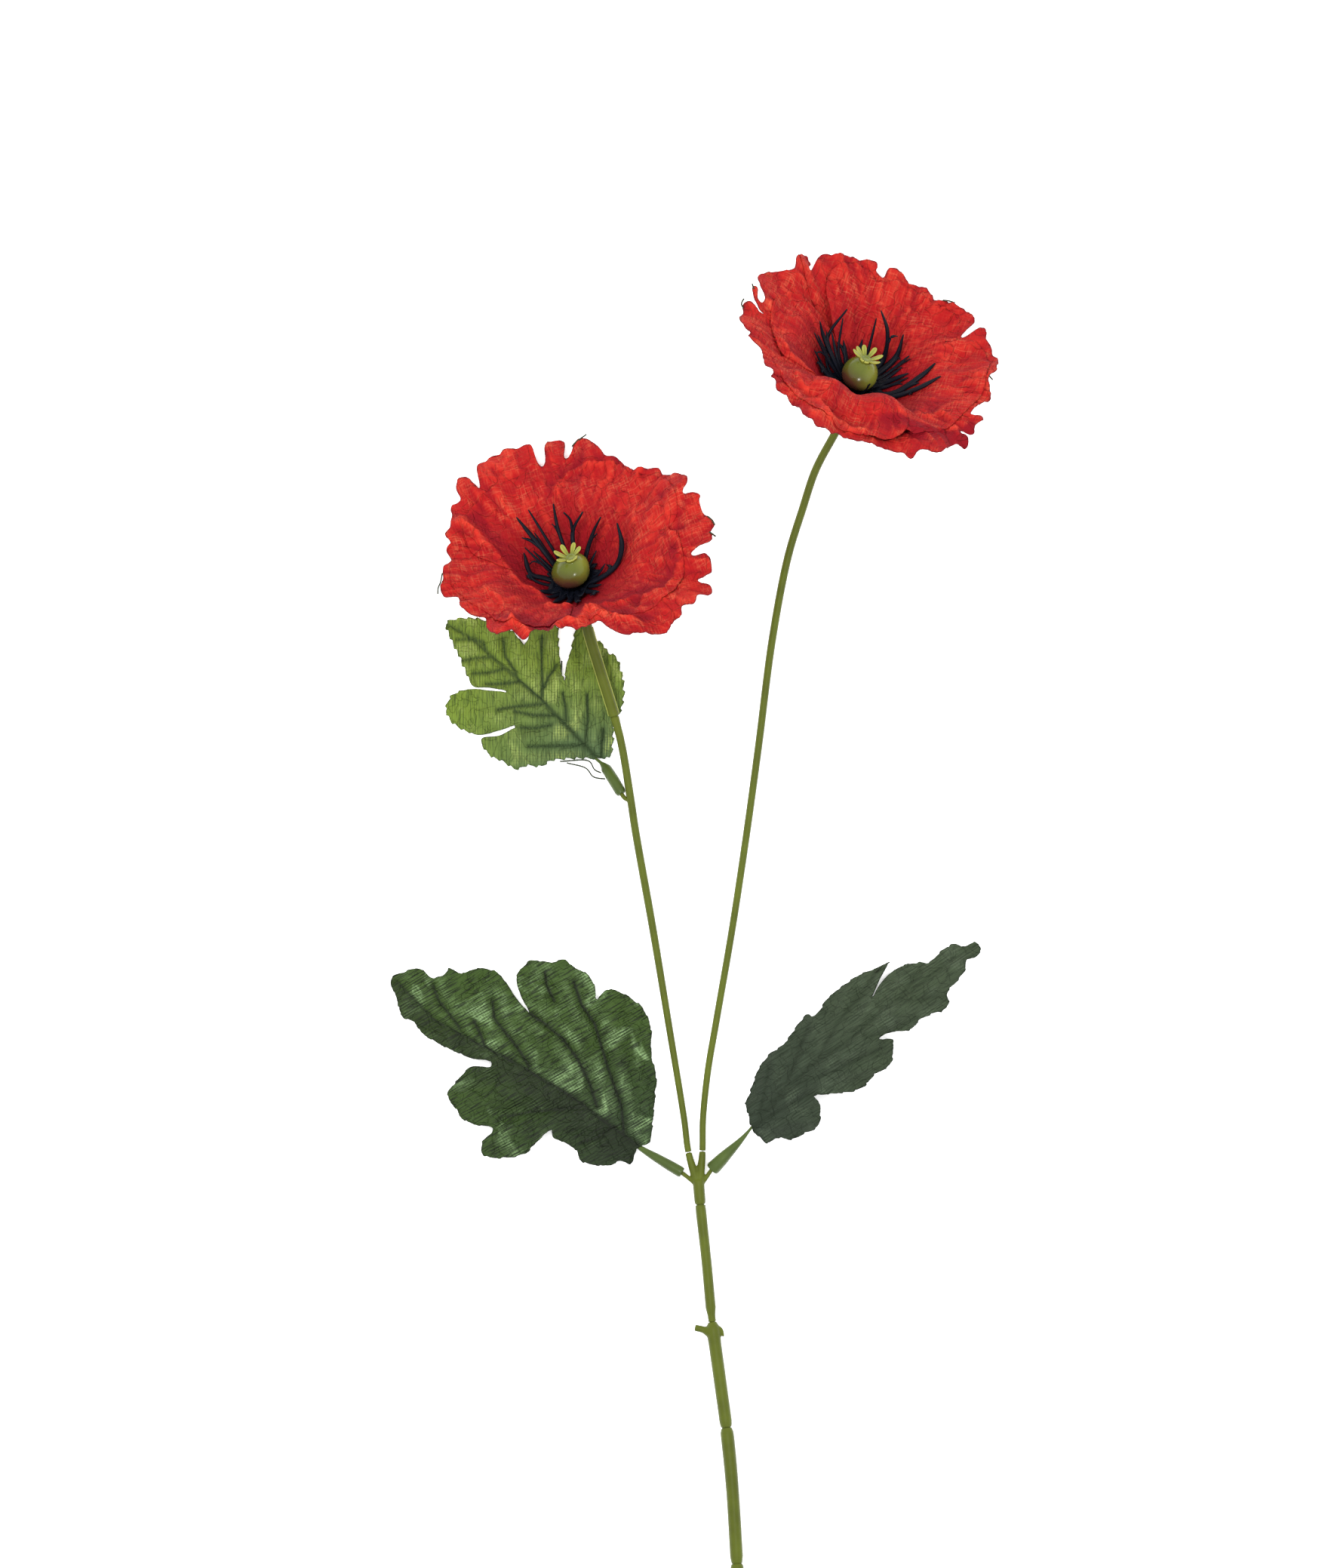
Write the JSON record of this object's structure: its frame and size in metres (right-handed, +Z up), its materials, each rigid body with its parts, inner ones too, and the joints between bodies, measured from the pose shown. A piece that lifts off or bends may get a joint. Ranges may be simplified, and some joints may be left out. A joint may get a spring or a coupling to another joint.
{
  "type": "poppy flower",
  "caption": "Artificial poppy spray lying down: red cloth poppies with green pods and black stamens on a forked stem with lobed cloth leaves.",
  "frame": {"origin": "on the surface that the spray lies on, under the middle of its bounding box", "axes": "+Z up off the surface, +Y along the spray from the cut end of the stem towards the flowers, +X to the right seen from above"},
  "size_m": [0.209, 0.4962, 0.066],
  "materials": {
    "stem_plastic": "satin moulded plastic",
    "core_wire_steel": "drawn wire",
    "petal_cloth": "crinkled woven cloth, slightly shiny",
    "stamen_plastic": "satin moulded plastic",
    "pod_plastic": "glossy moulded plastic with a paler crown",
    "upper_leaf_cloth": "woven cloth with pressed veins",
    "left_leaf_cloth": "glossy woven cloth with pressed veins",
    "right_leaf_cloth": "matt underside of woven cloth with pressed veins"
  },
  "bodies": {
    "root": {"stem_sleeve_1": "stem_plastic", "stem_sleeve_2": "stem_plastic", "stem_sleeve_3": "stem_plastic", "stem_sleeve_4": "stem_plastic", "core_wire": "core_wire_steel", "stem_fork": "stem_plastic", "flower_stem_left": "stem_plastic", "flower_stem_left_top": "stem_plastic", "flower_stem_right": "stem_plastic", "flower_wire_left": "core_wire_steel", "flower_wire_right": "core_wire_steel", "leaf_stalk_left": "stem_plastic", "leaf_stalk_right": "stem_plastic", "leaf_stalk_upper": "stem_plastic", "leaf_blade_left": "left_leaf_cloth", "leaf_blade_right": "right_leaf_cloth", "leaf_blade_upper": "upper_leaf_cloth", "calyx_left": "stem_plastic", "calyx_right": "stem_plastic", "outer_petals_left": "petal_cloth", "outer_petals_right": "petal_cloth", "inner_petals_left": "petal_cloth", "inner_petals_right": "petal_cloth", "stamens_left": "stamen_plastic", "stamens_right": "stamen_plastic", "pod_left": "pod_plastic", "pod_right": "pod_plastic"}
  },
  "joints": []
}
